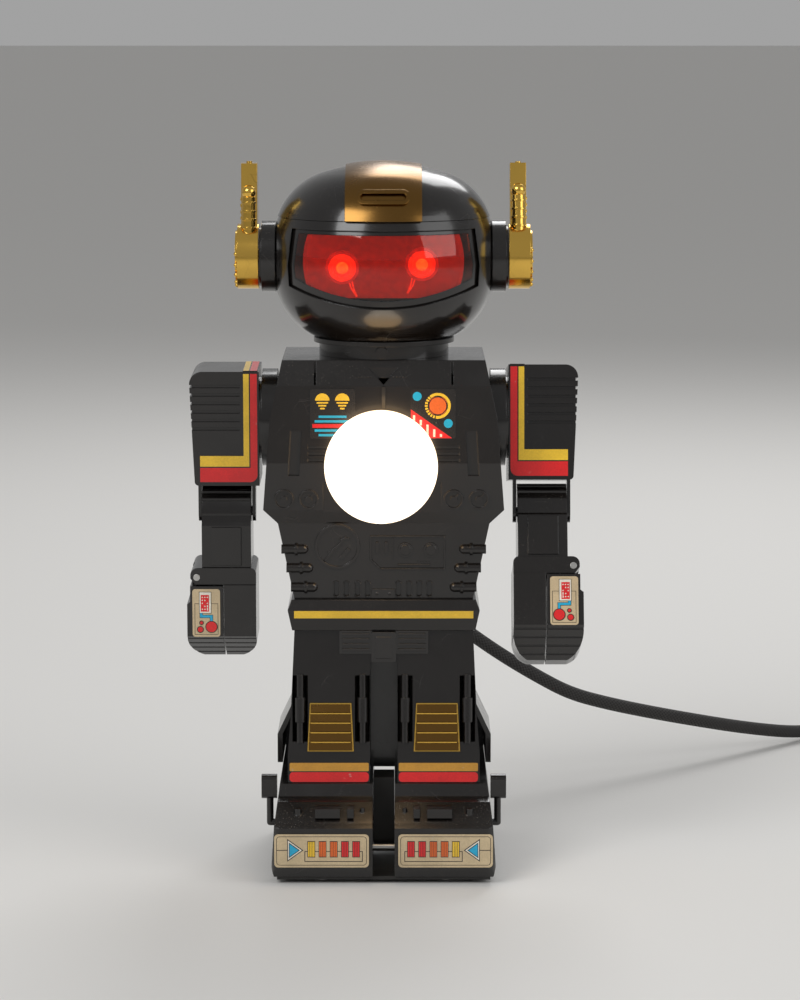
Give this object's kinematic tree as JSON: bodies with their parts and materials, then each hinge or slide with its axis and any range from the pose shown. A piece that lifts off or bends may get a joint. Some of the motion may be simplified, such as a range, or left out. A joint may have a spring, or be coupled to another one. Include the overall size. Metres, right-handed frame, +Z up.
{
  "type": "robot shaped desk lamp",
  "caption": "Robot-shaped desk lamp with a round bulb in its chest, turning head, swinging arms, opening hands, rolling wheels and a cord with a two-pin plug.",
  "frame": {"origin": "on the surface the lamp stands on, under the middle of the standing robot's outline", "axes": "+Z up, the robot faces -Y, +X is towards its left arm side as seen by it (the viewer's right)"},
  "size_m": [0.4674, 0.344, 0.2879],
  "materials": {
    "black_shell": "gloss moulded plastic",
    "crest_black": "gloss moulded plastic",
    "gold_chrome": "vacuum-plated gold",
    "visor_amber": "clear tinted",
    "eye_red": "clear red",
    "lead_copper": "bright",
    "foot_sticker": "gloss printed",
    "leg_band": "gloss printed",
    "belt_band": "gloss printed",
    "chest_sticker": "gloss printed",
    "arm_sticker": "gloss printed",
    "hand_sticker": "gloss printed",
    "grille_brown": "moulded",
    "bulb_opal": "opal, lit",
    "bulb_cap_metal": "bright",
    "holder_bakelite": "bakelite",
    "switch_black": "gloss",
    "steel": "zinc",
    "gland_rubber": "matt",
    "cord_black": "braided",
    "plug_black": "matt",
    "plug_brass": "nickel plated",
    "lead_wire": "matt",
    "wheel_plastic": "matt"
  },
  "bodies": {
    "body": {"chest_shell": "black_shell", "back_shell": "black_shell", "leg_front_shell": "black_shell", "leg_back_shell": "black_shell", "left_foot_shell": "black_shell", "right_foot_shell": "black_shell", "foot_stickers": "foot_sticker", "leg_bands": "leg_band", "belt_band": "belt_band", "chest_stickers": "chest_sticker", "leg_grilles": "grille_brown", "side_mirrors": "black_shell", "base_plate": "black_shell", "base_screws": "steel", "bulb_globe": "bulb_opal", "bulb_cap": "bulb_cap_metal", "lamp_holder": "holder_bakelite", "holder_ring": "black_shell", "switch_body": "switch_black", "service_door": "black_shell", "shell_screws": "steel", "cord_gland": "gland_rubber", "strain_relief": "gland_rubber", "power_cord": "cord_black", "cord_coil": "cord_black", "plug_body": "plug_black", "plug_pins": "plug_brass", "lamp_leads": "lead_wire", "neck_collar": "black_shell"},
    "head": {"face_shell": "black_shell", "skull_shell": "black_shell", "crest_trim": "crest_black", "visor": "visor_amber", "eye_lenses": "eye_red", "eye_plate": "black_shell", "eye_leads": "lead_copper", "ear_discs": "black_shell"},
    "left_antenna": {"left_antenna": "gold_chrome"},
    "right_antenna": {"right_antenna": "gold_chrome"},
    "left_arm": {"left_shoulder_hub": "black_shell", "left_upper_arm": "black_shell", "left_arm_sticker": "arm_sticker"},
    "left_forearm": {"left_forearm": "black_shell", "left_hand": "black_shell", "left_jaw_pin": "steel"},
    "left_jaw": {"left_jaw": "black_shell", "left_hand_sticker": "hand_sticker"},
    "right_arm": {"right_shoulder_hub": "black_shell", "right_upper_arm": "black_shell", "right_arm_sticker": "arm_sticker"},
    "right_forearm": {"right_forearm": "black_shell", "right_hand": "black_shell", "right_jaw_pin": "steel"},
    "right_jaw": {"right_jaw": "black_shell", "right_hand_sticker": "hand_sticker"},
    "rocker": {"rocker": "switch_black"},
    "front_wheels": {"front_axle": "steel", "front_wheels": "wheel_plastic"},
    "rear_wheels": {"rear_axle": "steel", "rear_wheels": "wheel_plastic"}
  },
  "joints": [
    {"name": "head_turn", "type": "hinge", "parent": "body", "child": "head", "pos_m": [0, 0.01725, 0.21], "axis": [0, 0, 1], "range_deg": [-60, 60]},
    {"name": "left_antenna_tilt", "type": "hinge", "parent": "head", "child": "left_antenna", "pos_m": [0, 0.01725, 0.2489], "axis": [-1, 0, 0], "range_deg": [-30, 30]},
    {"name": "left_shoulder_swing", "type": "hinge", "parent": "body", "child": "left_arm", "pos_m": [0, 0.01725, 0.1827], "axis": [-1, 0, 0], "range_deg": [-58, 77]},
    {"name": "left_elbow_bend", "type": "hinge", "parent": "left_arm", "child": "left_forearm", "pos_m": [0, 0.01862, 0.14352], "axis": [-1, 0, 0], "range_deg": [0, 70]},
    {"name": "left_jaw_open", "type": "hinge", "parent": "left_forearm", "child": "left_jaw", "pos_m": [-0.077, 0.01951, 0.11814], "axis": [0, 0.9994, 0.0349], "range_deg": [0, 20], "stiffness_Nm_per_rad": 0.01, "springref_deg": -25.78},
    {"name": "right_antenna_tilt", "type": "hinge", "parent": "head", "child": "right_antenna", "pos_m": [0, 0.01725, 0.2489], "axis": [-1, 0, 0], "range_deg": [-38, 22]},
    {"name": "right_shoulder_swing", "type": "hinge", "parent": "body", "child": "right_arm", "pos_m": [0, 0.01725, 0.1827], "axis": [-1, 0, 0], "range_deg": [-69, 66]},
    {"name": "right_elbow_bend", "type": "hinge", "parent": "right_arm", "child": "right_forearm", "pos_m": [0, 0.01112, 0.14398], "axis": [-1, 0, 0], "range_deg": [-12, 58]},
    {"name": "right_jaw_open", "type": "hinge", "parent": "right_forearm", "child": "right_jaw", "pos_m": [0.077, 0.00201, 0.12027], "axis": [0, -0.9336, 0.3584], "range_deg": [0, 20], "stiffness_Nm_per_rad": 0.01, "springref_deg": -25.78},
    {"name": "rocker_tilt", "type": "hinge", "parent": "body", "child": "rocker", "pos_m": [-0.014, 0.05025, 0.126], "axis": [1, 0, 0], "range_deg": [-12, 12]},
    {"name": "front_axle_spin", "type": "hinge", "parent": "body", "child": "front_wheels", "pos_m": [0, -0.01475, 0.009], "axis": [1, 0, 0], "continuous": true},
    {"name": "rear_axle_spin", "type": "hinge", "parent": "body", "child": "rear_wheels", "pos_m": [0, 0.03725, 0.009], "axis": [1, 0, 0], "continuous": true}
  ]
}
